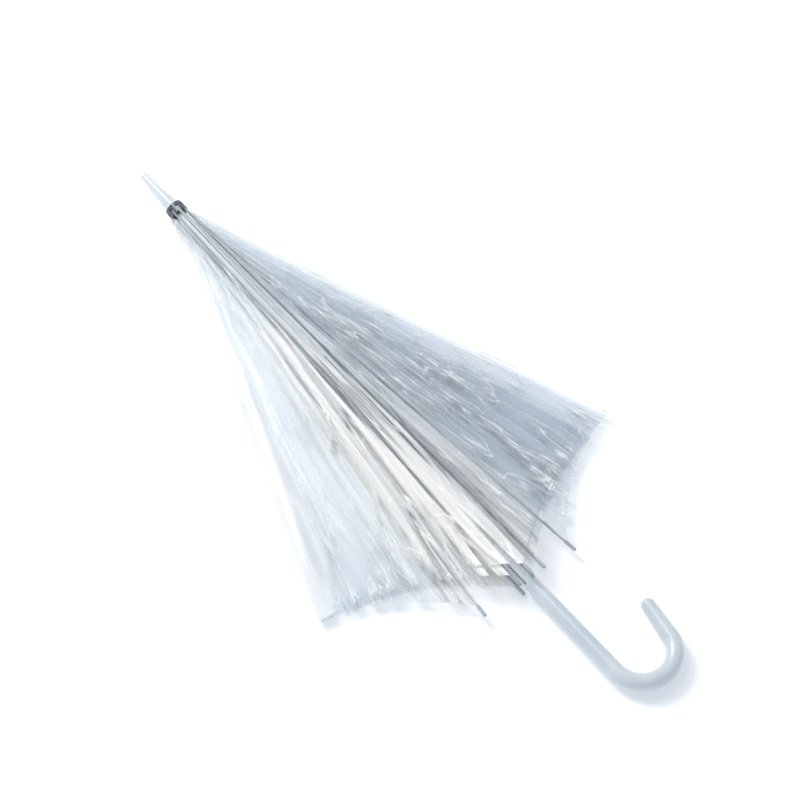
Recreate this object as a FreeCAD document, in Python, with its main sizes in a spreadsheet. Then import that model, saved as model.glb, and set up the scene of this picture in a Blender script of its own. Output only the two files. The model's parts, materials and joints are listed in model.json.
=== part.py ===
"""Stick umbrella with a clear film canopy: closed, unwrapped and lying on its side.

The shaft lies along +X from the ferrule to the J handle, whose hook curls towards +Y.
Every sub-part is drawn in the umbrella's own frame, with the crown's pivot plane at
x = 0 and the shaft's axis on X, or along its own rib, and its Placement puts it in the
lying umbrella, whose floor is z = 0.
"""
import FreeCAD, Part
import math
import os

import Sketcher

Vector = FreeCAD.Vector
X_AXIS = Vector(1, 0, 0)
RIB_COUNT = 8

# Driving dimensions, in millimetres and degrees.
DIMENSIONS = {
    "axis_height": 14.5,  # shaft axis above the floor
    "middle_x": 357.0,  # crown plane to the middle of the length
    "shaft_radius": 4.0,
    "shaft_wall": 0.5,
    "shaft_front": 34.0,  # length of shaft inside the ferrule
    "shaft_end": 648.0,
    "ferrule_length": 62.0,
    "ferrule_tip_radius": 4.5,
    "ferrule_tip_length": 20.0,
    "ferrule_tip_chamfer": 1.2,
    "ferrule_base_radius": 7.6,
    "socket_gap": 0.03,  # gap round the shaft in what is fixed to it
    "washer_radius": 9.6,
    "washer_thickness": 0.8,
    "crown_radius": 10.4,
    "crown_hub_radius": 6.3,
    "crown_back": 6.5,
    "crown_slot_back": 2.4,
    "crown_front": 5.0,
    "pivot_radius": 8.5,
    "crown_wire_radius": 0.5,
    "wire_gap": 0.05,
    "rib_slot": 2.9,
    "rib_length": 594.0,
    "rib_width": 2.4,
    "rib_depth": 2.0,
    "rib_wall": 0.45,
    "rib_end": 1.2,  # rib behind its pivot
    "rib_eye_radius": 0.62,
    "tip_start": 585.0,
    "tip_end": 600.0,
    "tip_radius": 1.9,
    "tip_chamfer": 0.6,
    "clasp_distance": 245.0,
    "clasp_length": 9.0,
    "clasp_wall": 0.3,
    "pin_radius": 0.6,
    "pin_head_radius": 1.1,
    "pin_head_height": 0.5,
    "side_gap": 0.15,
    "stretcher_thickness": 1.0,
    "stretcher_depth": 2.2,
    "stretcher_eye_radius": 0.66,
    "runner_bore_gap": 0.08,
    "runner_radius": 5.9,
    "runner_back": -18.0,  # ends of the runner from the plane of its pivots
    "runner_front": 46.0,
    "collar_radius": 9.6,
    "collar_back": -6.0,
    "collar_front": 3.0,
    "collar_slot": 1.7,
    "runner_wire_radius": 0.4,
    "runner_wire_ring": 6.6,
    "grip_radius": 6.9,
    "grip_length": 12.0,
    "keyway_radius": 5.5,
    "keyway_width": 1.9,
    "catch_width": 1.4,
    "catch_length": 12.0,
    "catch_reach": 5.2,
    "catch_root": 3.2,
    "catch_slot": 1.8,
    "upper_catch_start": 337.0,
    "lower_catch_start": 517.0,
    "handle_start": 597.0,
    "handle_rim_radius": 8.25,
    "handle_radius": 9.5,
    "handle_bend_start": 731.0,
    "handle_bend_radius": 35.3,
    "handle_bend_angle": 171.0,
    "handle_arm_length": 42.0,
    "handle_end_radius": 7.8,
    "film_thickness": 0.2,
    "film_offset": 2.4,  # film line outside the middle of its rib
    "film_gap": 0.35,
    "film_start": 14.0,
    "film_rib_length": 584.0,
    "film_fold_length": 526.0,
    "film_hem_rise": 16.0,  # how far the hem is cut in from a straight line
    "open_angle": 54.0,
}
# Angle of each rib from the shaft, closed, from the rib at +Y and then round towards +Z.
CLOSED_ANGLES = (5.0, 1.4, 1.2, 1.4, 5.1, 0.6, 0.3, 0.6)
# Way that each gore's fold points, round the shaft from +Y: the gores lie in two flaps.
FOLD_HEADINGS = (-2.0, -2.05, 182.05, 182.0, 181.35, 181.1, -1.1, -1.35)
FLAP_ORDER = (1, 1, -1, -1, -1, -1, 1, 1)  # +1 where the flap's sheets stack upwards


class Size:
    """A number and the spreadsheet expression that gives it."""

    def __init__(self, value, text):
        self.value = float(value)
        self.text = text

    def joined(self, sign, other, value):
        other = other if isinstance(other, Size) else Size(other, repr(other))
        return Size(value(self.value, other.value), f"({self.text} {sign} {other.text})")

    def __add__(self, other):
        return self.joined("+", other, lambda a, b: a + b)

    def __sub__(self, other):
        return self.joined("-", other, lambda a, b: a - b)

    def __mul__(self, other):
        return self.joined("*", other, lambda a, b: a * b)

    def __truediv__(self, other):
        return self.joined("/", other, lambda a, b: a / b)

    def __neg__(self):
        return self * -1


doc = FreeCAD.newDocument("StickUmbrella")
sheet = doc.addObject("Spreadsheet::Sheet", "Sizes")
SIZES = {}


def add_size(alias, value):
    """Put one plain number in the sheet under its alias."""
    cell = f"B{len(SIZES) + 1}"
    sheet.set(f"A{len(SIZES) + 1}", alias)
    sheet.set(cell, str(value))
    sheet.setAlias(cell, alias)
    SIZES[alias] = Size(value, f"Sizes.{alias}")
    return SIZES[alias]


for alias_name, number in DIMENSIONS.items():
    add_size(alias_name, number)
doc.recompute()
ZERO = Size(0, "0")


def size(alias):
    return SIZES[alias]


def plain(alias):
    return SIZES[alias].value


# ---- directions of the ribs and folds ------------------------------------------------


def outward(heading):
    """Unit vector across the shaft at a heading in degrees from +Y towards +Z."""
    turn = math.radians(heading)
    return Vector(0, math.cos(turn), math.sin(turn))


def leaning(angle, heading):
    """Unit vector that leans from the shaft by an angle, towards a heading."""
    lean = math.radians(angle)
    return X_AXIS * math.cos(lean) + outward(heading) * math.sin(lean)


def rib_heading(index):
    return 360.0 / RIB_COUNT * index


def rib_direction(index):
    index %= RIB_COUNT
    return leaning(CLOSED_ANGLES[index], rib_heading(index))


def open_rib_direction(index):
    return leaning(plain("open_angle"), rib_heading(index % RIB_COUNT))


def pivot_point(index):
    return outward(rib_heading(index)) * plain("pivot_radius")


def film_point(index):
    """Start of the film's line on a rib, just outside the rib."""
    reach = plain("pivot_radius") + plain("film_offset")
    return outward(rib_heading(index)) * reach


def gore_angle():
    """Flat angle of one gore, in degrees: the angle between two ribs when open."""
    return math.degrees(open_rib_direction(0).getAngle(open_rib_direction(1)))


def fold_direction(index):
    """Way the fold runs, where its angles to the two ribs add up to the gore's."""
    low, high = 5.0, 60.0
    for _ in range(50):
        middle = (low + high) / 2
        way = leaning(middle, FOLD_HEADINGS[index])
        total = way.getAngle(rib_direction(index)) + way.getAngle(rib_direction(index + 1))
        if math.degrees(total) < gore_angle():
            low = middle
        else:
            high = middle
    return leaning(middle, FOLD_HEADINGS[index])


def fold_point(index):
    """Point at the crown that the fold's line starts from."""
    return (film_point(index) + film_point(index + 1)) * 0.5


# ---- helpers that make the features --------------------------------------------------


def place(piece, base=Vector(0, 0, 0), along=X_AXIS, across=Vector(0, 1, 0)):
    """Set the Placement: own X along, own Y towards across, from a point at the crown."""
    along = Vector(along).normalize()
    side = along.cross(across).normalize()
    up = side.cross(along)
    corner = Vector(-plain("middle_x"), 0, plain("axis_height"))
    turn = FreeCAD.Rotation(along, up, side, "XYZ")
    piece.Placement = FreeCAD.Placement(base + corner, turn)


def new_body(label):
    body = doc.addObject("PartDesign::Body", label)
    body.Label = label
    return body


def new_sketch(body, name, plane):
    sketch = body.newObject("Sketcher::SketchObject", name)
    origin = [item for item in body.Origin.OriginFeatures if item.Role == plane][0]
    sketch.AttachmentSupport = [(origin, "")]
    sketch.MapMode = "FlatFace"
    return sketch


def bind(sketch, kind, places, length):
    """Add one sketch constraint whose value follows the sheet."""
    row = sketch.addConstraint(Sketcher.Constraint(kind, *places, length.value))
    if length.text != "0":
        sketch.setExpression(f"Constraints[{row}]", length.text)


def add_outline(sketch, points):
    """Closed outline of straight edges, each corner placed from the sheet."""
    corners = [Vector(a.value, b.value, 0) for a, b in points]
    first = sketch.GeometryCount
    for place_number, corner in enumerate(corners):
        following = corners[(place_number + 1) % len(corners)]
        sketch.addGeometry(Part.LineSegment(corner, following))
    for place_number, (a, b) in enumerate(points):
        line = first + place_number
        before = first + (place_number - 1) % len(points)
        sketch.addConstraint(Sketcher.Constraint("Coincident", before, 2, line, 1))
        bind(sketch, "DistanceX", (-1, 1, line, 1), a)
        bind(sketch, "DistanceY", (-1, 1, line, 1), b)


def add_circle(sketch, a, b, radius):
    centre = Vector(a.value, b.value, 0)
    row = sketch.addGeometry(Part.Circle(centre, Vector(0, 0, 1), radius.value))
    bind(sketch, "DistanceX", (-1, 1, row, 3), a)
    bind(sketch, "DistanceY", (-1, 1, row, 3), b)
    bind(sketch, "Radius", (row,), radius)


def pad(body, sketch, length, symmetric=True):
    feature = body.newObject("PartDesign::Pad", sketch.Name + "Pad")
    feature.Profile = sketch
    feature.SideType = "Symmetric" if symmetric else "One side"
    feature.setExpression("Length", length.text)
    return feature


def pocket(body, sketch, length):
    """Cut to both sides of the sketch, and make sure that something was cut."""
    doc.recompute()
    before = body.Shape.Volume
    feature = body.newObject("PartDesign::Pocket", sketch.Name + "Pocket")
    feature.Profile = sketch
    feature.SideType = "Symmetric"
    feature.setExpression("Length", length.text)
    doc.recompute()
    if not body.Shape.Volume < before:
        raise RuntimeError(f"{body.Label}: {sketch.Name} cuts nothing")
    return feature


def revolve(body, sketch, kind="Revolution"):
    feature = body.newObject("PartDesign::" + kind, sketch.Name + kind)
    feature.Profile = sketch
    feature.ReferenceAxis = (sketch, ["H_Axis"])
    feature.Angle = 360
    return feature


def repeat_round(body, feature):
    """Repeat a cut at every rib, round the shaft."""
    pattern = body.newObject("PartDesign::PolarPattern", feature.Name + "Round")
    pattern.Originals = [feature]
    axis = [item for item in body.Origin.OriginFeatures if item.Role == "X_Axis"][0]
    pattern.Axis = (axis, [""])
    pattern.Angle = 360
    pattern.Occurrences = RIB_COUNT
    body.Tip = pattern
    doc.recompute()


def box_points(low_a, high_a, low_b, high_b):
    return [(low_a, low_b), (high_a, low_b), (high_a, high_b), (low_a, high_b)]


# ---- shaft, ferrule, crown and handle ------------------------------------------------


def make_shaft():
    body = new_body("shaft")
    ring = new_sketch(body, "ShaftRing", "YZ_Plane")
    add_circle(ring, ZERO, ZERO, size("shaft_radius"))
    add_circle(ring, ZERO, ZERO, size("shaft_radius") - size("shaft_wall"))
    ring.AttachmentOffset = FreeCAD.Placement(
        Vector(0, 0, -plain("shaft_front")), FreeCAD.Rotation()
    )
    pad(body, ring, size("shaft_end") + size("shaft_front"), symmetric=False)
    for name in ("upper", "lower"):
        slot = new_sketch(body, name.title() + "Slot", "XY_Plane")
        start = size(name + "_catch_start")
        gap = size("side_gap") * 2
        add_outline(slot, box_points(start - gap, start + size("catch_length") + gap,
                                     size("shaft_radius") * 0.5, size("shaft_radius") * 1.5))
        pocket(body, slot, size("catch_slot"))
    place(body, across=outward(180.0 / RIB_COUNT))


def make_ferrule():
    body = new_body("ferrule")
    profile = new_sketch(body, "FerruleProfile", "XY_Plane")
    base = -size("crown_back") - size("washer_thickness")
    tip = -size("ferrule_length")
    bore = size("shaft_radius") + size("socket_gap")
    chamfer = size("ferrule_tip_chamfer")
    add_outline(profile, [
        (tip, ZERO),
        (tip, size("ferrule_tip_radius") - chamfer),
        (tip + chamfer, size("ferrule_tip_radius")),
        (tip + size("ferrule_tip_length"), size("ferrule_tip_radius")),
        (base - size("washer_thickness") * 3, size("ferrule_base_radius")),
        (base, size("washer_radius") - size("washer_thickness")),
        (base, bore),
        (-size("shaft_front") - size("wire_gap"), bore),
        (-size("shaft_front") - size("wire_gap"), ZERO),
    ])
    revolve(body, profile)
    place(body)


def make_film_washer():
    body = new_body("film_washer")
    ring = new_sketch(body, "WasherRing", "YZ_Plane")
    add_circle(ring, ZERO, ZERO, size("washer_radius"))
    add_circle(ring, ZERO, ZERO, size("shaft_radius") + size("socket_gap"))
    pad(body, ring, size("washer_thickness"), symmetric=False)
    place(body, X_AXIS * -(plain("crown_back") + plain("washer_thickness")))


def make_crown():
    body = new_body("crown")
    profile = new_sketch(body, "CrownProfile", "XY_Plane")
    bore = size("shaft_radius") + size("socket_gap")
    add_outline(profile, box_points(-size("crown_back"), size("crown_front"),
                                    bore, size("crown_radius")))
    revolve(body, profile)
    groove = new_sketch(body, "CrownGroove", "XY_Plane")
    add_circle(groove, ZERO, size("pivot_radius"), size("crown_wire_radius") + size("wire_gap"))
    revolve(body, groove, "Groove")
    slot = new_sketch(body, "CrownSlot", "XY_Plane")
    add_outline(slot, box_points(-size("crown_slot_back"), size("crown_front") * 2,
                                 size("crown_hub_radius"), size("crown_radius") * 2))
    repeat_round(body, pocket(body, slot, size("rib_slot")))
    place(body)


def make_ring_wire(label, ring_radius, wire_radius, distance):
    wire = doc.addObject("Part::Torus", label)
    wire.Label = label
    wire.setExpression("Radius1", ring_radius.text)
    wire.setExpression("Radius2", wire_radius.text)
    # The torus is drawn round its own Z, so its own Z is laid along the shaft.
    corner = Vector(-plain("middle_x"), 0, plain("axis_height"))
    wire.Placement = FreeCAD.Placement(
        corner + X_AXIS * distance, FreeCAD.Rotation(Vector(0, 0, 1), X_AXIS)
    )


def primitive(kind, name, **values):
    piece = doc.addObject("Part::" + kind, name)
    for key, value in values.items():
        if isinstance(value, Size):
            piece.setExpression(key, value.text)
        else:
            setattr(piece, key, value)
    return piece


def make_handle():
    """J handle: a tapered stem, a round bend, a tapered free arm and a domed end."""
    along_x = FreeCAD.Rotation(Vector(0, 0, 1), X_AXIS)
    start, bend = plain("handle_start"), plain("handle_bend_start")
    radius, angle = plain("handle_bend_radius"), plain("handle_bend_angle")
    stem = primitive("Cone", "Stem", Radius1=size("handle_rim_radius"),
                     Radius2=size("handle_radius"),
                     Height=size("handle_bend_start") - size("handle_start"))
    stem.Placement = FreeCAD.Placement(X_AXIS * start, along_x)
    hook = primitive("Torus", "Bend", Radius1=size("handle_bend_radius"),
                     Radius2=size("handle_radius"), Angle3=size("handle_bend_angle"))
    hook.Placement = FreeCAD.Placement(
        Vector(bend, radius, 0), FreeCAD.Rotation(Vector(0, 0, 1), -90)
    )
    turn = math.radians(angle)
    arm_start = Vector(bend + radius * math.sin(turn), radius * (1 - math.cos(turn)), 0)
    arm_way = Vector(math.cos(turn), math.sin(turn), 0)
    arm = primitive("Cone", "Arm", Radius1=size("handle_radius"),
                    Radius2=size("handle_end_radius"), Height=size("handle_arm_length"))
    arm.Placement = FreeCAD.Placement(arm_start, FreeCAD.Rotation(Vector(0, 0, 1), arm_way))
    dome = primitive("Sphere", "Dome", Radius=size("handle_end_radius"))
    dome.Placement.Base = arm_start + arm_way * plain("handle_arm_length")
    solid = doc.addObject("Part::MultiFuse", "HandleSolid")
    solid.Shapes = [stem, hook, arm, dome]
    bore = primitive("Cylinder", "HandleBore", Radius=size("shaft_radius") + size("socket_gap"),
                     Height=size("shaft_end") - size("handle_start") + size("film_gap"))
    bore.Placement = FreeCAD.Placement(X_AXIS * start, along_x)
    handle = doc.addObject("Part::Cut", "handle")
    handle.Label = "handle"
    handle.Base = solid
    handle.Tool = bore
    place(handle)


def make_catch(name):
    """Sprung catch: a ramp that stands out of the shaft's slot, on a leaf inside it."""
    body = new_body(name + "_catch")
    profile = new_sketch(body, name.title() + "Profile", "XY_Plane")
    start = size(name + "_catch_start")
    end = start + size("catch_length")
    leaf = size("catch_root")
    add_outline(profile, [
        (start - size("catch_length"), leaf - size("rib_wall")),
        (end, leaf - size("rib_wall")),
        (end, leaf),
        (end, size("catch_reach") - size("catch_root") * 0.5),
        (start + size("side_gap"), size("catch_reach")),
        (start, leaf),
        (start - size("catch_length"), leaf),
    ])
    pad(body, profile, size("catch_width"))
    place(body, across=outward(180.0 / RIB_COUNT))


# ---- runner --------------------------------------------------------------------------


def runner_plane():
    return 2 * plain("clasp_distance")


def side_offset():
    """Stretcher's middle, beside its rib."""
    return (size("rib_width") / 2 + size("clasp_wall") + size("side_gap")
            + size("stretcher_thickness") / 2)


def make_runner():
    body = new_body("runner")
    profile = new_sketch(body, "RunnerProfile", "XY_Plane")
    bore = size("shaft_radius") + size("runner_bore_gap")
    grip_start = size("runner_front") - size("grip_length")
    add_outline(profile, [
        (size("runner_back"), bore),
        (size("runner_back"), size("runner_radius")),
        (size("collar_back"), size("runner_radius")),
        (size("collar_back"), size("collar_radius")),
        (size("collar_front"), size("collar_radius")),
        (size("collar_front"), size("runner_radius")),
        (grip_start, size("runner_radius")),
        (grip_start + size("side_gap") * 8, size("grip_radius")),
        (size("runner_front"), size("grip_radius")),
        (size("runner_front"), bore),
    ])
    revolve(body, profile)
    groove = new_sketch(body, "RunnerGroove", "XY_Plane")
    wire_room = size("runner_wire_radius") + size("wire_gap")
    add_circle(groove, ZERO, size("runner_wire_ring"), wire_room)
    revolve(body, groove, "Groove")
    keyway = new_sketch(body, "Keyway", "YZ_Plane")
    half = size("keyway_width") / 2
    add_outline(keyway, box_points(size("shaft_radius") / 2, size("keyway_radius"), -half, half))
    pocket(body, keyway, size("runner_front") * 3)
    slot = new_sketch(body, "CollarSlot", "YZ_Plane")
    # The slots lie beside the ribs' planes and the keyway lies midway between two ribs.
    slot.AttachmentOffset = FreeCAD.Placement(
        Vector(0, 0, -1.5), FreeCAD.Rotation(Vector(0, 0, 1), 180.0 / RIB_COUNT)
    )
    half = size("collar_slot") / 2
    add_outline(slot, box_points(size("runner_radius") + size("wire_gap") * 2,
                                 size("collar_radius") * 2, side_offset() - half,
                                 side_offset() + half))
    repeat_round(body, pocket(body, slot, size("collar_front") * 4))
    place(body, X_AXIS * runner_plane(), across=outward(180.0 / RIB_COUNT))


# ---- ribs, tips, clasps and stretchers -----------------------------------------------


def make_rib(index):
    name = f"rib_{index + 1}"
    body = new_body(name)
    channel = new_sketch(body, f"Channel{index}", "YZ_Plane")
    half_depth, half_width = size("rib_depth") / 2, size("rib_width") / 2
    inner = half_width - size("rib_wall")
    floor = half_depth - size("rib_wall")
    add_outline(channel, [
        (-half_depth, -half_width), (half_depth, -half_width), (half_depth, half_width),
        (-half_depth, half_width), (-half_depth, inner), (floor, inner), (floor, -inner),
        (-half_depth, -inner),
    ])
    channel.AttachmentOffset = FreeCAD.Placement(
        Vector(0, 0, -plain("rib_end")), FreeCAD.Rotation()
    )
    pad(body, channel, size("rib_length") + size("rib_end"), symmetric=False)
    eye = new_sketch(body, f"Eye{index}", "XY_Plane")
    add_circle(eye, ZERO, ZERO, size("rib_eye_radius"))
    pocket(body, eye, size("rib_width") * 2)
    place(body, pivot_point(index), rib_direction(index), outward(rib_heading(index)))


def make_rib_tip(index):
    body = new_body(f"rib_tip_{index + 1}")
    round_bar = new_sketch(body, f"TipProfile{index}", "XY_Plane")
    chamfer = size("tip_chamfer")
    add_outline(round_bar, [
        (size("tip_start"), ZERO),
        (size("tip_start"), size("tip_radius") - chamfer / 2),
        (size("tip_start") + chamfer, size("tip_radius")),
        (size("tip_end") - chamfer * 2, size("tip_radius")),
        (size("tip_end"), size("tip_radius") - chamfer * 2),
        (size("tip_end"), ZERO),
    ])
    revolve(body, round_bar)
    socket = new_sketch(body, f"Socket{index}", "XY_Plane")
    half = size("rib_depth") / 2 + size("socket_gap")
    add_outline(socket, box_points(size("tip_start") / 2, size("rib_length") + size("socket_gap"),
                                   -half, half))
    pocket(body, socket, size("rib_width") + size("socket_gap") * 2)
    place(body, pivot_point(index), rib_direction(index), outward(rib_heading(index)))


def make_clasp(index):
    """Folded clasp round the rib, with the headed pin that carries the stretcher."""
    body = new_body(f"rib_clasp_{index + 1}")
    half_length = size("clasp_length") / 2
    middle = size("clasp_distance")
    outer = size("rib_depth") / 2 + size("clasp_wall")
    block = new_sketch(body, f"ClaspBlock{index}", "XY_Plane")
    add_outline(block, box_points(middle - half_length, middle + half_length, -outer, outer))
    side = size("rib_width") / 2 + size("clasp_wall")
    pad(body, block, side * 2)
    pin = new_sketch(body, f"ClaspPin{index}", "XY_Plane")
    add_circle(pin, middle, ZERO, size("pin_radius"))
    pin_length = side + size("side_gap") * 2 + size("stretcher_thickness")
    pad(body, pin, pin_length + size("pin_head_height") / 2, symmetric=False)
    head = new_sketch(body, f"ClaspHead{index}", "XY_Plane")
    add_circle(head, middle, ZERO, size("pin_head_radius"))
    head.AttachmentOffset = FreeCAD.Placement(Vector(0, 0, pin_length.value), FreeCAD.Rotation())
    pad(body, head, size("pin_head_height"), symmetric=False)
    channel = new_sketch(body, f"ClaspChannel{index}", "XY_Plane")
    inner = size("rib_depth") / 2 + size("socket_gap")
    add_outline(channel, box_points(middle - half_length * 2, middle + half_length * 2,
                                    -inner, inner))
    pocket(body, channel, size("rib_width") + size("socket_gap") * 2)
    place(body, pivot_point(index), rib_direction(index), outward(rib_heading(index)))


def make_stretcher(index):
    """Flat stretcher from the clasp's pin back in to the runner's collar."""
    body = new_body(f"stretcher_{index + 1}")
    bar = new_sketch(body, f"Bar{index}", "XY_Plane")
    half = size("stretcher_depth") / 2
    length = size("clasp_distance")
    add_outline(bar, [
        (-half, -half / 2), (-half / 2, -half), (length + half / 2, -half),
        (length + half, -half / 2), (length + half, half / 2), (length + half / 2, half),
        (-half / 2, half), (-half, half / 2),
    ])
    pad(body, bar, size("stretcher_thickness"))
    eye = new_sketch(body, f"StretcherEye{index}", "XY_Plane")
    add_circle(eye, ZERO, ZERO, size("stretcher_eye_radius"))
    pocket(body, eye, size("stretcher_thickness") * 2)
    out = outward(rib_heading(index))
    sideways = X_AXIS.cross(out) * side_offset().value
    clasp = pivot_point(index) + rib_direction(index) * plain("clasp_distance")
    place(body, clasp + sideways, leaning(-CLOSED_ANGLES[index], rib_heading(index)), out)


# ---- canopy: two half gores between each pair of ribs --------------------------------


def make_half_gore(index, second):
    """Half a gore of film, flat from its rib to the gore's fold, with a cut-in hem."""
    rib = (index + (1 if second else 0)) % RIB_COUNT
    lift = FLAP_ORDER[index] * plain("film_gap")
    rib_lift = Vector(0, 0, -lift if second else lift)
    start = film_point(rib) + rib_lift
    corner = (fold_point(index) + fold_direction(index) * plain("film_fold_length")
              - rib_lift)
    along = rib_direction(rib)
    towards = corner - start
    flap_side = towards - along * towards.dot(along)
    name = f"gore_{index + 1}_{'b' if second else 'a'}"
    reach_x = add_size(name + "_fold_along", round(towards.dot(along), 3))
    reach_y = add_size(name + "_fold_across", round(flap_side.Length, 3))
    doc.recompute()
    body = new_body(name)
    outline = new_sketch(body, f"Film{index}{int(second)}", "XY_Plane")
    hem = size("film_rib_length")
    straight = Vector(reach_x.value - hem.value, reach_y.value, 0)
    inwards = Vector(-straight.y, straight.x, 0).normalize()
    clear = size("film_gap") / 2
    points = [(size("film_start"), clear), (hem, clear)]
    for share in (0.25, 0.5, 0.75):
        # A parabola through both ends of the hem, deepest in its middle.
        depth = size("film_hem_rise") * (4 * share * (1 - share))
        points.append((hem + (reach_x - hem) * share + depth * inwards.x,
                       reach_y * share + depth * inwards.y))
    points.append((reach_x, reach_y))
    add_outline(outline, points)
    pad(body, outline, size("film_thickness"))
    place(body, start, along, flap_side)


# ---- the whole umbrella --------------------------------------------------------------


def check_and_write():
    doc.recompute()
    for item in doc.Objects:
        if "Invalid" in item.State or "Error" in item.State:
            raise RuntimeError(f"{item.Name} failed: {item.State}")
    os.makedirs("parts", exist_ok=True)
    names = set(NODE_NAMES)
    for item in doc.Objects:
        if item.Label in names and hasattr(item, "Shape"):
            if item.Shape.isNull() or not item.Shape.isValid():
                raise RuntimeError(f"{item.Label} has no valid shape")
            item.Shape.exportStep(f"parts/{item.Label}.step")
            names.discard(item.Label)
    if names:
        raise RuntimeError(f"not made: {sorted(names)}")


NODE_NAMES = ["shaft", "ferrule", "film_washer", "crown", "crown_wire", "handle",
              "upper_catch", "lower_catch", "runner", "runner_wire"]

make_shaft()
make_ferrule()
make_film_washer()
make_crown()
make_ring_wire("crown_wire", size("pivot_radius"), size("crown_wire_radius"), 0.0)
make_handle()
make_catch("upper")
make_catch("lower")
make_runner()
make_ring_wire("runner_wire", size("runner_wire_ring"), size("runner_wire_radius"),
               runner_plane())
for number in range(RIB_COUNT):
    make_rib(number)
    make_rib_tip(number)
    make_clasp(number)
    make_stretcher(number)
    make_half_gore(number, second=False)
    make_half_gore(number, second=True)
    NODE_NAMES += [f"{piece}_{number + 1}" for piece in
                   ("rib", "rib_tip", "rib_clasp", "stretcher")]
    NODE_NAMES += [f"gore_{number + 1}_a", f"gore_{number + 1}_b"]
check_and_write()
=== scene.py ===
"""Looks of the clear stick umbrella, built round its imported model."""

import json
import math
import random

import bpy
import numpy as np
from bpy.props import FloatProperty, FloatVectorProperty, IntProperty, PointerProperty
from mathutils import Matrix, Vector


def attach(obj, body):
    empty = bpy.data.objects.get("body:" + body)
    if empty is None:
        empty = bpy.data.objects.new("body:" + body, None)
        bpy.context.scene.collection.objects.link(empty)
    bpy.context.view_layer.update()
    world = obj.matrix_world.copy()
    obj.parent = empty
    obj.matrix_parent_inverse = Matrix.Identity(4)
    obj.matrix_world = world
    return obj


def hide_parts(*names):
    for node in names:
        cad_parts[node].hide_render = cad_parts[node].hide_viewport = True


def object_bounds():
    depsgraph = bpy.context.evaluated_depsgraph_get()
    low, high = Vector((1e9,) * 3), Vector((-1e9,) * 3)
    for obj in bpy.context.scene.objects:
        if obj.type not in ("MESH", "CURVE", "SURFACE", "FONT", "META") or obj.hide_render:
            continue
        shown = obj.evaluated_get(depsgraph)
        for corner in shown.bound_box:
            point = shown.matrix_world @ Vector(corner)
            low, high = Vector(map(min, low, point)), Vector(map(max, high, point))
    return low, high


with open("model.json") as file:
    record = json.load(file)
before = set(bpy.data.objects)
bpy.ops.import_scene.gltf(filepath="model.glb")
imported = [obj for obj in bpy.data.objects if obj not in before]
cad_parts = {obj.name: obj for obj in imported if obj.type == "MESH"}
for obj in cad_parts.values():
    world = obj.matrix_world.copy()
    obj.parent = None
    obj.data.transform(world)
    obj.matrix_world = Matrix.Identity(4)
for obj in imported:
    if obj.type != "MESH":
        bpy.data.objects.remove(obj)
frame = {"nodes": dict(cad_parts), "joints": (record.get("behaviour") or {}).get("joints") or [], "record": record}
CAD_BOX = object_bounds()

bl_info = {
    "name": "Clear Stick Umbrella",
    "version": (1, 0, 0),
    "blender": (4, 5, 0),
    "location": "View3D > Sidebar > Umbrella",
    "description": "Film, fittings, finishes and stage of a clear stick umbrella",
    "category": "Object",
}

JOINTS = {joint["name"]: joint for joint in frame["joints"]}
RIBS = sum(name.startswith("rib_") and name.endswith("_hinge") for name in JOINTS)

# Lengths in metres, angles in degrees.
MIDDLE_REACH = 0.35  # from the crown to the middle of the film
FASTENED_WIDTH = 0.003  # film that lies flat beside its rib
CREASED_FROM = 0.018  # from the rib, where the creases reach their full height
FLOOR_CLEARANCE = 0.0003
TURNED_UP = 0.3  # share of a crease's depth under the floor that shows above it instead
FLAP_ANGLE = 21  # from the shaft to a flap's edge

CREASE_SEED = 17
RIDGE_COUNT = 36
# Ranges of a ridge's angle from the shaft, half width in degrees, height and bend.
RIDGE_RANGES = ((-FLAP_ANGLE, FLAP_ANGLE), (0.7, 2.2), (-1.0, 1.0), (-8, 8))
RIDGE_SHARPNESS = 1.2
STRAIGHT_REACH = 0.3  # where a bent ridge has its own angle
CREASE_COUNT = 7
# Ranges of a crease's turn per degree, slant, phase and waver.
CREASE_RANGES = ((0.25, 0.9), (-28, 28), (0, 6.28), (0.2, 1.2))
WAVER_PER_METRE = 17

# Painted highlights: angle from the shaft of the white creases painted beside it, and the width of their band.
PAINTED_HIGHLIGHT_ANGLE, PAINTED_HIGHLIGHT_WIDTH = -3.0, 6.5
# Painted blue-grey shade: its least amount on all the film, and its extra amount at the far corner and at the hem.
LEAST_PAINTED_SHADE = 0.12
PAINTED_CORNER_SHADE, PAINTED_HEM_SHADE = 0.5, 0.5
HEM_START = 0.975  # share of the film's length at which its hem begins
TONGUE_GORE = 4
TONGUE_START = 0.80  # share of the half gore's width at which the tongue begins
TONGUE_ROUNDING = 0.10
TONGUE_BLUR = 0.02
UV_GORE_STEP = 0.31  # between the gores' places on the UV map
UV_HALF_STEP = 0.17

FLOOR_SIZE = 30
FLOOR_DROP = 0.0005
SKY_COLOUR, SKY_STRENGTH = "#E4EBF3", 0.72
# Name, place from the camera's aim, power in watts, size and colour.
LIGHTS = (
    ("key_light", (-1.7, -0.35, 2.0), 31, 0.8, "#FFFAF2"),
    ("left_panel", (-1.05, 0.0, 2.3), 11, 1.1, "#FFFFFF"),
)


# ---- settings ------------------------------------------------------------------------


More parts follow.
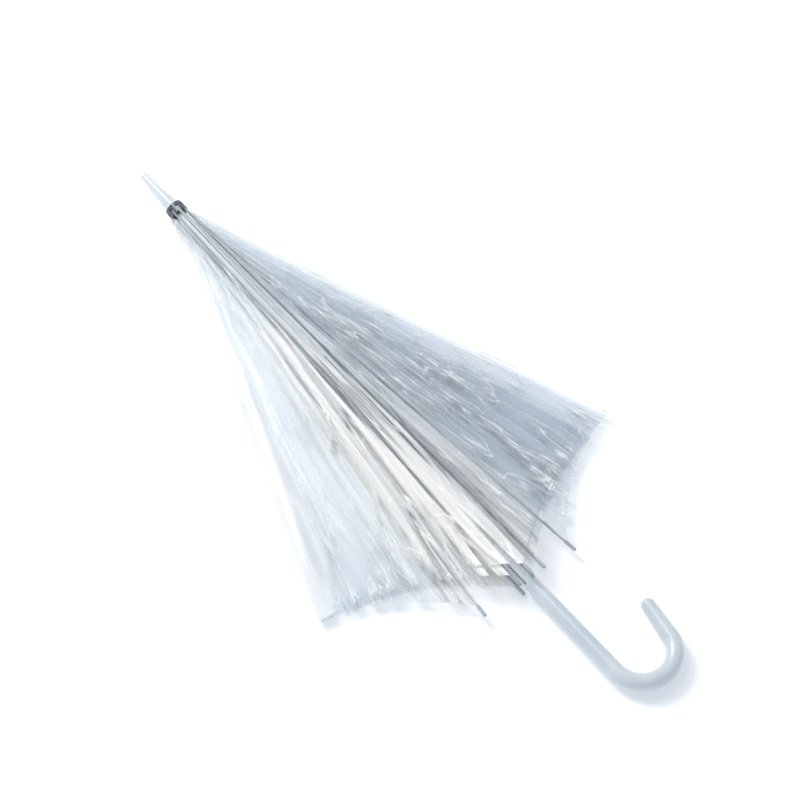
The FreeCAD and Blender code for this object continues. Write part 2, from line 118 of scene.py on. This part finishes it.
class FilmSettings(bpy.types.PropertyGroup):
    rib_length: FloatProperty(
        name="Length at rib", description="Film's edge along a rib",
        default=0.584, unit="LENGTH")
    fold_length: FloatProperty(
        name="Length at fold", description="Film's length along a gore's fold",
        default=0.526, unit="LENGTH")
    apex_gap: FloatProperty(
        name="Start", description="Distance from the rib's pivot to the film's start",
        default=0.012, unit="LENGTH")
    hem_rise: FloatProperty(
        name="Hem rise", description="How far the hem is cut in from a straight line",
        default=0.016, unit="LENGTH")
    ridge_height: FloatProperty(
        name="Ridge height", description="Height of the long creases near the hem",
        default=0.0034, unit="LENGTH")
    crumple_height: FloatProperty(
        name="Crumple height", description="Height of the small crumples",
        default=0.0008, unit="LENGTH")
    rows: IntProperty(name="Rows", description="Divisions along the rib", default=170)
    columns: IntProperty(name="Columns", description="Divisions across", default=56)
    tint: FloatVectorProperty(
        name="Film tint", description="Light that one layer lets through",
        subtype="COLOR", size=3, default=(0.991, 0.994, 0.996))
    # Painted shade: the colour that one layer lets through where the film is painted blue-grey as if in shade.
    painted_shade_tint: FloatVectorProperty(
        name="Film shade", description="Light that one layer lets through on the blue-grey side",
        subtype="COLOR", size=3, default=(0.944, 0.954, 0.963))


class StageSettings(bpy.types.PropertyGroup):
    azimuth: FloatProperty(
        name="Camera heading", description="Heading of the camera from +X",
        default=math.radians(-39.5), subtype="ANGLE")
    elevation: FloatProperty(
        name="Camera elevation", description="Camera's angle above the floor",
        default=math.radians(59.4), subtype="ANGLE")
    distance: FloatProperty(
        name="Camera distance", description="From the camera to its aim",
        default=4.74, unit="LENGTH")
    lens: FloatProperty(name="Lens", description="Focal length in mm", default=200.0)
    aim_ahead: FloatProperty(
        name="Aim ahead", description="Camera's aim, from the crown along the shaft",
        default=0.340, unit="LENGTH")
    aim_aside: FloatProperty(
        name="Aim aside", description="Camera's aim, from the shaft to the hook's side",
        default=0.0352, unit="LENGTH")


# ---- small helpers -------------------------------------------------------------------


def linear(hex_colour):
    """Linear RGBA of an sRGB hex colour."""
    channels = [int(hex_colour[i:i + 2], 16) / 255 for i in (1, 3, 5)]
    return [c / 12.92 if c <= 0.04045 else ((c + 0.055) / 1.055) ** 2.4
            for c in channels] + [1.0]


def deselect_all():
    if bpy.context.object and bpy.context.object.mode != "OBJECT":
        bpy.ops.object.mode_set(mode="OBJECT")
    bpy.ops.object.select_all(action="DESELECT")


def line_of(joint_name):
    """Point and unit direction of a joint's axis at rest."""
    joint = JOINTS[joint_name]
    return np.array(joint["pos_m"]), np.array(joint["axis"]) / np.linalg.norm(joint["axis"])


def smooth(low, high, value):
    share = np.clip((value - low) / (high - low), 0, 1)
    return share * share * (3 - 2 * share)


# ---- materials -----------------------------------------------------------------------


def add_node(material, kind, sockets=(), stops=(), **settings):
    """Add a node.

    Each socket, by name or number, gets the output that feeds it or its value. Settings are the
    node's own, and stops are the places and colours of a colour ramp.
    """
    tree = material.node_tree
    node = tree.nodes.new(kind)
    for name, value in settings.items():
        setattr(node, name, value)
    for socket, source in dict(sockets).items():
        if isinstance(source, bpy.types.NodeSocket):
            tree.links.new(source, node.inputs[socket])
        else:
            node.inputs[socket].default_value = source
    if stops:
        elements = node.color_ramp.elements
        while len(elements) < len(stops):
            elements.new(0.5)
        for element, (place, colour) in zip(elements, stops):
            element.position = place
            element.color = colour
    return node


def new_material(name):
    material = bpy.data.materials.new(name)
    material.use_nodes = True
    material.node_tree.nodes.clear()
    return material


def finish_material(material, shader):
    add_node(material, "ShaderNodeOutputMaterial", {"Surface": shader})
    return material


def grey(level):
    return (level, level, level, 1.0)


def rise(low, high):
    """Stops that turn from black to white between two noise values."""
    return [(low, grey(0)), (high, grey(1))]


def thin_line(half_width):
    """Stops that draw a white line where the noise crosses its middle value."""
    return [(0.5 - half_width, grey(0)), (0.5, grey(1)), (0.5 + half_width, grey(0))]


def moulded_plastic(name, light, dark, roughness, grain_mm=1.6, flow_mm=45):
    """Glossy moulded plastic: faint flow marks in its colour, and a skin with slight orange peel."""
    material = new_material(name)
    place = add_node(material, "ShaderNodeTexCoord").outputs["Object"]
    flow = add_node(material, "ShaderNodeTexNoise", {
        "Vector": place, "Scale": 1000 / flow_mm, "Detail": 3.0}).outputs["Fac"]
    tint = add_node(material, "ShaderNodeValToRGB", {"Fac": flow},
                    stops=[(0.3, linear(dark)), (0.65, linear(light))]).outputs["Color"]
    shine = add_node(material, "ShaderNodeValToRGB", {"Fac": flow}, stops=[
        (0.25, grey(roughness * 0.8)), (0.75, grey(roughness * 1.3))]).outputs["Color"]
    skin = add_node(material, "ShaderNodeTexNoise", {
        "Vector": place, "Scale": 1000 / grain_mm, "Detail": 2.0}).outputs["Fac"]
    bump = add_node(material, "ShaderNodeBump", {
        "Height": skin, "Strength": 0.06, "Distance": 0.0002}).outputs["Normal"]
    shader = add_node(material, "ShaderNodeBsdfPrincipled", {
        "Base Color": tint, "Roughness": shine, "Normal": bump, "IOR": 1.5,
        "Coat Weight": 0.25, "Coat Roughness": 0.08,
        "Subsurface Weight": 0.08, "Subsurface Radius": (0.002, 0.002, 0.0024)})
    return finish_material(material, shader.outputs["BSDF"])


def galvanised_steel(name="galvanised_steel"):
    """Drawn, zinc-plated steel: grey, softly shining, with fine marks along its length."""
    material = new_material(name)
    marks_per_metre = (30, 900, 900)  # a mark is about 33 mm long and 1 mm wide
    place = add_node(material, "ShaderNodeTexCoord").outputs["Object"]
    drawn = add_node(material, "ShaderNodeMapping", {
        "Vector": place, "Scale": marks_per_metre}).outputs["Vector"]
    marks = add_node(material, "ShaderNodeTexNoise", {
        "Vector": drawn, "Scale": 1.0, "Detail": 4.0}).outputs["Fac"]
    tint = add_node(material, "ShaderNodeValToRGB", {"Fac": marks},
                    stops=[(0.3, linear("#9DA4AB")), (0.7, linear("#CDD3D8"))]).outputs["Color"]
    shine = add_node(material, "ShaderNodeValToRGB", {"Fac": marks},
                     stops=[(0.3, grey(0.28)), (0.7, grey(0.45))]).outputs["Color"]
    bump = add_node(material, "ShaderNodeBump", {
        "Height": marks, "Strength": 0.15, "Distance": 0.0001}).outputs["Normal"]
    shader = add_node(material, "ShaderNodeBsdfPrincipled", {
        "Base Color": tint, "Roughness": shine, "Normal": bump, "Metallic": 0.65})
    return finish_material(material, shader.outputs["BSDF"])


def painted_steel(name="white_painted_steel"):
    """Stoved white paint on a drawn tube: smooth and bright, a little uneven in its gloss."""
    return moulded_plastic(name, "#F1F4F6", "#E2E8EC", 0.22, grain_mm=2.5)


# The film's marks run out from the crown. The band and line marks are painted white highlights
# on the creases, the slant and kink marks are painted glints, the patch mark sets where the kinks
# show, and the last mark is a painted dark line of shade in the creases. Each has its length and
# width in mm, its slant in radians, the noise's detail and distortion, and what part of the noise
# shows.
FILM_MARKS = {
    "band": (320, 9.0, 0.0, 1.0, 0.2, rise(0.48, 0.58)),
    "line": (280, 11.0, 0.0, 1.0, 0.3, thin_line(0.014)),
    "slant": (120, 14.0, 0.10, 1.5, 0.6, thin_line(0.012)),
    "kink": (34, 3.0, 0.12, 2.0, 0.8, rise(0.52, 0.58)),
    "patch": (90, 13.0, 0.05, 1.0, 0.0, rise(0.54, 0.60)),
    "gap": (300, 13.0, 0.0, 1.0, 0.2, thin_line(0.014)),
}


def film_plan(material):
    """Place on the film: distance from the crown, and the way round it at the film's middle."""
    place = add_node(material, "ShaderNodeTexCoord").outputs["Object"]
    out = add_node(material, "ShaderNodeVectorMath", {0: place, 1: crown_point()},
                   operation="SUBTRACT").outputs["Vector"]
    axes = add_node(material, "ShaderNodeSeparateXYZ", {"Vector": out}).outputs
    reach = add_node(material, "ShaderNodeVectorMath", {0: out},
                     operation="LENGTH").outputs["Value"]
    turn = add_node(material, "ShaderNodeMath", {0: axes["Y"], 1: axes["X"]},
                    operation="ARCTAN2").outputs["Value"]
    arc = add_node(material, "ShaderNodeMath", {0: turn, 1: MIDDLE_REACH},
                   operation="MULTIPLY").outputs["Value"]
    return add_node(material, "ShaderNodeCombineXYZ", {"X": reach, "Y": arc}).outputs["Vector"]


def clear_film(name, tint, painted_shade_tint):
    """Blown PVC film: clear and glossy, with painted white highlights on the creases beside the shaft and painted
    blue-grey shade on one flap.

    Layers that lie on each other are creased together, so all of them share one pattern.
    """
    material = new_material(name)
    plan = film_plan(material)
    noises, marks = {}, {}
    for word, (length, width, slant, detail, distortion, stops) in FILM_MARKS.items():
        laid = add_node(material, "ShaderNodeMapping", {
            "Vector": plan, "Rotation": (0, 0, slant),
            "Scale": (1000 / length, 1000 / width, 1.0)}).outputs["Vector"]
        noises[word] = add_node(material, "ShaderNodeTexNoise", {
            "Vector": laid, "Scale": 1.0, "Detail": detail,
            "Distortion": distortion}).outputs["Fac"]
        marks[word] = add_node(material, "ShaderNodeValToRGB", {"Fac": noises[word]},
                               stops=stops).outputs["Color"]
    marks["kink"] = add_node(material, "ShaderNodeMath", {0: marks["kink"], 1: marks["patch"]},
                             operation="MULTIPLY").outputs["Value"]
    # Painted highlight and shade: shine sets how white the creases beside the shaft are painted, and the painted
    # shade sets how blue-grey one flap is.
    shine, painted_shade, milk = (
        add_node(material, "ShaderNodeAttribute", attribute_name=word).outputs["Fac"]
        for word in ("shine", "painted_shade", "milk"))
    # Painted highlights and glints: a mark is as white as its share of one attribute (the shine for the creases,
    # the painted shade for the glints), and never less than its least.
    white = 0.0
    for word, attribute, share, least in (("band", shine, 0.70, 0.02), ("line", shine, 0.30, 0.26),
                                          ("slant", painted_shade, 0.36, 0.12), ("kink", painted_shade, 0.38, 0.05)):
        strength = add_node(material, "ShaderNodeMath", {0: attribute, 1: share, 2: least},
                            operation="MULTIPLY_ADD").outputs["Value"]
        white = add_node(material, "ShaderNodeMath", {0: marks[word], 1: strength, 2: white},
                         operation="MULTIPLY_ADD", use_clamp=True).outputs["Value"]
    # Milky film has no marks, and is even.
    clean = add_node(material, "ShaderNodeMath", {0: milk, 1: -1.0, 2: 1.0},
                     operation="MULTIPLY_ADD").outputs["Value"]
    veil = add_node(material, "ShaderNodeMath", {0: milk, 1: 0.55, 2: 0.004},
                    operation="MULTIPLY_ADD").outputs["Value"]
    # Painted highlights where the film isn't milky, plus the milky veil, whiten the film.
    painted_highlights_and_milk = add_node(material, "ShaderNodeMath", {0: white, 1: clean, 2: veil},
                    operation="MULTIPLY_ADD", use_clamp=True).outputs["Value"]
    height = add_node(material, "ShaderNodeMath", {0: noises["band"], 1: 0.45},
                      operation="MULTIPLY").outputs["Value"]
    height = add_node(material, "ShaderNodeMath", {0: noises["slant"], 1: 0.4, 2: height},
                      operation="MULTIPLY_ADD").outputs["Value"]
    bump = add_node(material, "ShaderNodeBump", {
        "Height": height, "Strength": 0.5, "Distance": 0.0016}).outputs["Normal"]
    # Painted highlight: the skin is warm white where the painted highlights are.
    painted_highlight_colour = add_node(material, "ShaderNodeValToRGB", {"Fac": shine},
                      stops=[(0.0, linear("#F3F6F8")), (0.6, linear("#FFFEFB"))]).outputs["Color"]
    skin = add_node(material, "ShaderNodeBsdfPrincipled", {
        "Base Color": painted_highlight_colour, "Normal": bump, "Roughness": 0.10, "IOR": 1.54}).outputs["BSDF"]
    # Painted shade: the light let through turns from the film's tint to the painted blue-grey shade.
    through = add_node(material, "ShaderNodeValToRGB", {"Fac": painted_shade},
                       stops=[(0.0, (*tint, 1.0)), (1.0, (*painted_shade_tint, 1.0))]).outputs["Color"]
    # Painted shade: thin dark lines in the creases, deepest among the painted highlights beside the shaft, darken
    # the light let through.
    depth = add_node(material, "ShaderNodeMath", {0: shine, 1: 0.22, 2: 0.05},
                     operation="MULTIPLY_ADD").outputs["Value"]
    gap = add_node(material, "ShaderNodeMath", {0: marks["gap"], 1: depth},
                   operation="MULTIPLY").outputs["Value"]
    # Mix's colours are its sockets 6 and 7, and the mixed colour is its output 2.
    darkened = add_node(material, "ShaderNodeMix", {0: gap, 6: through, 7: linear("#3A4046")},
                        data_type="RGBA").outputs[2]
    clear = add_node(material, "ShaderNodeBsdfTransparent", {"Color": darkened}).outputs["BSDF"]
    # The mirror at a glancing angle is weaker than one sheet's, because many layers add up.
    edge = add_node(material, "ShaderNodeFresnel", {"Normal": bump, "IOR": 1.38}).outputs["Fac"]
    cover = add_node(material, "ShaderNodeMath", {0: edge, 1: painted_highlights_and_milk},
                     operation="ADD", use_clamp=True).outputs["Value"]
    mixed = add_node(material, "ShaderNodeMixShader", {"Fac": cover, 1: clear, 2: skin})
    return finish_material(material, mixed.outputs["Shader"])


# ---- film ----------------------------------------------------------------------------


def crown_point():
    """Middle of the ring that the ribs turn on."""
    return np.mean([line_of(f"rib_{i + 1}_hinge")[0] for i in range(RIBS)], axis=0)


def round_crown(points):
    """Distance from the crown, and angle from the shaft in degrees, on the floor plan."""
    ahead, aside = (points - crown_point())[:, :2].T
    return np.hypot(ahead, aside), np.degrees(np.arctan2(aside, np.maximum(ahead, 1e-6)))


def crease_draws():
    """The film's creases, drawn once with a fixed seed so that each run gives the same film."""
    chance = random.Random(CREASE_SEED)
    ridges = [[chance.uniform(*limits) for limits in RIDGE_RANGES] for _ in range(RIDGE_COUNT)]
    creases = [[chance.uniform(*limits) for limits in CREASE_RANGES] for _ in range(CREASE_COUNT)]
    return {"ridges": ridges, "creases": creases}


def crease_height(points, settings, draws):
    """Height of the film's creases over the floor plan, the same for every layer.

    Long ridges run out from the crown, and thin slanting creases cross between them.
    Layers that lie on each other share them, so they nest.
    """
    reach, angle = round_crown(points)
    growth = smooth(0.02, 0.45, reach)
    height = np.zeros(len(points))
    for middle, width, tall, bend in draws["ridges"]:
        off = angle - middle - bend * (reach - STRAIGHT_REACH)
        profile = np.exp(-np.abs(off / width) ** RIDGE_SHARPNESS)
        height += settings.ridge_height * tall * profile * growth
    for turns, slant, phase, waver in draws["creases"]:
        wave = turns * angle + slant * reach + phase
        wave += waver * np.sin(WAVER_PER_METRE * reach + phase)
        sharp = 1 - 2 * np.abs(np.sin(wave))
        height += settings.crumple_height * sharp * growth / len(draws["creases"]) ** 0.5
    return height


def crease_share(along, across, off_rib):
    """Share of the creases' height: none beside the rib, and little at the fold and the hem."""
    off_fold = 0.3 + 0.7 * smooth(0.0, 0.06, 1 - across)
    off_hem = 1 - 0.65 * smooth(0.88, 1.0, along)
    return smooth(FASTENED_WIDTH, CREASED_FROM, off_rib) * off_fold * off_hem


def look_of(points, gore, along, across):
    """Where creases get painted white highlights, how much painted blue-grey shade the film gets, and where it's
    milky.
    """
    reach, angle = round_crown(points)
    # Painted highlight: white creases beside the shaft, growing out from the crown.
    shine = np.exp(-((angle - PAINTED_HIGHLIGHT_ANGLE) / PAINTED_HIGHLIGHT_WIDTH) ** 2) * smooth(0.08, 0.35, reach)
    # Painted shade: blue-grey on the flap at the hook's side, at the far corner of the other side and at the hem.
    shaded_flap = smooth(0.0, 8.0, angle)
    painted_far_corner = smooth(0.40, 0.56, reach) * smooth(0.0, -14.0, angle)
    hem = smooth(HEM_START, HEM_START + 0.01, along)
    painted_shade = LEAST_PAINTED_SHADE + (1 - LEAST_PAINTED_SHADE) * shaded_flap + PAINTED_CORNER_SHADE * painted_far_corner + PAINTED_HEM_SHADE * hem
    milk = np.zeros(len(points))
    if gore == TONGUE_GORE:
        # The tongue is a strip by the fold, rounded off at the hem.
        inner = TONGUE_START + TONGUE_ROUNDING * smooth(0.40, 0.53, reach) ** 2
        milk = smooth(inner - TONGUE_BLUR, inner + TONGUE_BLUR, across) * smooth(0.10, 0.30, reach)
    return {"shine": shine, "painted_shade": painted_shade * (1 - milk), "milk": milk}


def add_grid(name, settings):
    """Add a square grid, and give it with each vertex's shares of the way along and across."""
    deselect_all()
    bpy.ops.mesh.primitive_grid_add(
        x_subdivisions=settings.rows, y_subdivisions=settings.columns, size=1,
        calc_uvs=True, location=(0, 0, 0))
    sheet = bpy.context.object
    sheet.name = sheet.data.name = name
    corners = np.empty(len(sheet.data.vertices) * 3)
    sheet.data.vertices.foreach_get("co", corners)
    corners = corners.reshape(-1, 3) + 0.5
    return sheet, corners[:, 0:1], corners[:, 1:2]


def grid_area(points, settings):
    """Area of a grid of points."""
    grid = points.reshape(settings.columns + 1, settings.rows + 1, 3)
    side, up = grid[:, 1:] - grid[:, :-1], grid[1:] - grid[:-1]
    return float(np.linalg.norm(np.cross(side[:-1], up[:, :-1]), axis=2).sum())


def lay_out_uv(mesh, along, across):
    """Write the flat film's own coordinates, in metres, to the UV map."""
    corners = np.empty(len(mesh.loops), dtype=int)
    mesh.loops.foreach_get("vertex_index", corners)
    uv = np.stack([along[corners], across[corners]], axis=1)
    mesh.uv_layers[0].data.foreach_set("uv", uv.ravel())


def creased_points(rib, gore, along, across, settings, draws):
    """Places of a half gore's vertices, with the flat film's width at each and its whole area."""
    rib_point, rib_way = line_of(f"gore_{rib}_swing")
    fold_point, fold_way = line_of(f"gore_{gore}_fold")
    start = settings.apex_gap
    rib_edge = rib_point + rib_way * (start + along * (settings.rib_length - start))
    fold_edge = fold_point + fold_way * (start + along * (settings.fold_length - start))
    width = np.linalg.norm(rib_edge - fold_edge, axis=1)
    hem_cut = settings.hem_rise * 4 * across * (1 - across) * along ** 3
    way = rib_way * (1 - across) + fold_way * across
    points = rib_edge * (1 - across) + fold_edge * across - way * hem_cut
    area = grid_area(points, settings)
    share = crease_share(along, across, across * width[:, None])
    points[:, 2:3] += crease_height(points, settings, draws)[:, None] * share
    # Creases that would go under the floor are pressed flatter and turned up.
    floor = CAD_BOX[0][2] + FLOOR_CLEARANCE
    below = floor - points[:, 2]
    points[:, 2] = np.where(below > 0, floor + below * TURNED_UP, points[:, 2])
    return points, width, area


def make_half_gore(gore, half, settings, material, draws):
    """One half of a gore: a sheet from its rib to the gore's fold."""
    rib = gore if half == "a" else gore % RIBS + 1
    sheet, along, across = add_grid(f"film_{gore}_{half}", settings)
    points, width, area = creased_points(rib, gore, along, across, settings, draws)
    mesh = sheet.data
    mesh.vertices.foreach_set("co", points.ravel())
    lay_out_uv(mesh, along[:, 0] * settings.rib_length, across[:, 0] * width
               + gore * UV_GORE_STEP + (UV_HALF_STEP if half == "b" else 0.0))
    for word, values in look_of(points, gore, along[:, 0], across[:, 0]).items():
        attribute = mesh.attributes.new(word, "FLOAT", "POINT")
        attribute.data.foreach_set("value", values.astype(np.float32))
    mesh.update()
    mesh.materials.append(material)
    bpy.ops.object.shade_smooth()
    node = f"gore_{gore}_{half}"
    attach(sheet, node)
    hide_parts(node)


# ---- operators -----------------------------------------------------------------------


class UMBRELLA_OT_film(bpy.types.Operator):
    """Make the canopy's sixteen half gores of creased clear film"""
    bl_idname = "umbrella.film"
    bl_label = "Canopy Film"

    def execute(self, context):
        settings = context.scene.umbrella_film
        material = clear_film("clear_pvc_film", settings.tint, settings.painted_shade_tint)
        draws = crease_draws()
        for gore in range(1, RIBS + 1):
            for half in "ab":
                make_half_gore(gore, half, settings, material, draws)
        return {"FINISHED"}


class UMBRELLA_OT_finishes(bpy.types.Operator):
    """Give every fitting its finish"""
    bl_idname = "umbrella.finishes"
    bl_label = "Fittings' Finishes"

    def execute(self, context):
        finishes = {
            "white_plastic": moulded_plastic("white_gloss_pp", "#D9E0E6", "#C9D3DB", 0.2),
            "white_nylon": moulded_plastic("white_nylon", "#F0F2F2", "#E3E6E8", 0.35),
            "dark_plastic": moulded_plastic("grey_nylon", "#5C6269", "#474C52", 0.4),
            "grey_plastic": moulded_plastic("grey_pp", "#B9C0C6", "#9AA3AB", 0.35),
            "white_painted_steel": painted_steel(),
            "steel": galvanised_steel(),
        }
        for part in frame["record"]["subparts"]:
            if part["material_slot"] in finishes:
                node = frame["nodes"][part["node"]]
                node.data.materials.clear()
                node.data.materials.append(finishes[part["material_slot"]])
        return {"FINISHED"}


def add_light(name, place, aim, power, size, colour):
    """Add a square light that shines from a place towards the aim."""
    data = bpy.data.lights.new(name, "AREA")
    data.energy = power
    data.size = size
    data.color = linear(colour)[:3]
    light = bpy.data.objects.new(name, data)
    bpy.context.collection.objects.link(light)
    light.location = place
    light.rotation_euler = (aim - place).to_track_quat("-Z", "Y").to_euler()


def add_camera(aim, settings):
    """Add the camera, looking at the aim from its heading and elevation."""
    data = bpy.data.cameras.new("view_camera")
    data.lens = settings.lens
    data.clip_end = 100
    camera = bpy.data.objects.new("view_camera", data)
    bpy.context.collection.objects.link(camera)
    out = Vector((math.cos(settings.elevation) * math.cos(settings.azimuth),
                  math.cos(settings.elevation) * math.sin(settings.azimuth),
                  math.sin(settings.elevation)))
    camera.location = aim + out * settings.distance
    camera.rotation_euler = (-out).to_track_quat("-Z", "Y").to_euler()
    bpy.context.scene.camera = camera


def add_floor():
    """Add the floor, of matt white paper that glows a little so that shadows stay faint."""
    deselect_all()
    bpy.ops.mesh.primitive_plane_add(size=FLOOR_SIZE, location=(0, 0, CAD_BOX[0][2] - FLOOR_DROP))
    floor = bpy.context.object
    floor.name = "floor"
    paper = new_material("matt_white_paper")
    shader = add_node(paper, "ShaderNodeBsdfPrincipled", {
        "Base Color": linear("#FBFBFC"), "Roughness": 0.9, "Specular IOR Level": 0.1,
        "Emission Color": linear("#F6FAFF"), "Emission Strength": 0.17})
    floor.data.materials.append(finish_material(paper, shader.outputs["BSDF"]))


class UMBRELLA_OT_stage(bpy.types.Operator):
    """Make the floor, the light and the camera"""
    bl_idname = "umbrella.stage"
    bl_label = "Stage"

    def execute(self, context):
        settings = context.scene.umbrella_stage
        add_floor()
        world = bpy.data.worlds.new("studio_sky")
        context.scene.world = world
        world.use_nodes = True
        sky = world.node_tree.nodes["Background"]
        sky.inputs["Color"].default_value = linear(SKY_COLOUR)
        sky.inputs["Strength"].default_value = SKY_STRENGTH
        aim = Vector(crown_point()) + Vector((settings.aim_ahead, settings.aim_aside, 0))
        for name, offset, power, size, colour in LIGHTS:
            add_light(name, aim + Vector(offset), aim, power, size, colour)
        add_camera(aim, settings)
        context.scene.view_settings.view_transform = "Standard"
        # Light meets up to twenty layers of film on its way through the folded canopy.
        context.scene.cycles.transparent_max_bounces = 40
        return {"FINISHED"}


class UMBRELLA_PT_panel(bpy.types.Panel):
    """Lists the umbrella's makers"""
    bl_idname = "UMBRELLA_PT_panel"
    bl_label = "Clear Stick Umbrella"
    bl_space_type = "VIEW_3D"
    bl_region_type = "UI"
    bl_category = "Umbrella"

    def draw(self, context):
        for operator in OPERATORS:
            self.layout.operator(operator.bl_idname)
        for group in ("umbrella_film", "umbrella_stage"):
            settings = getattr(context.scene, group)
            for name in settings.bl_rna.properties.keys():
                if name not in ("rna_type", "name"):
                    self.layout.prop(settings, name)


OPERATORS = (UMBRELLA_OT_stage, UMBRELLA_OT_film, UMBRELLA_OT_finishes)
CLASSES = (FilmSettings, StageSettings, *OPERATORS, UMBRELLA_PT_panel)


def register():
    for item in CLASSES:
        bpy.utils.register_class(item)
    bpy.types.Scene.umbrella_film = PointerProperty(type=FilmSettings)
    bpy.types.Scene.umbrella_stage = PointerProperty(type=StageSettings)


def unregister():
    del bpy.types.Scene.umbrella_film
    del bpy.types.Scene.umbrella_stage
    for item in reversed(CLASSES):
        bpy.utils.unregister_class(item)


def main():
    register()
    bpy.ops.umbrella.stage()
    bpy.ops.umbrella.film()
    bpy.ops.umbrella.finishes()


if __name__ == "__main__":
    main()
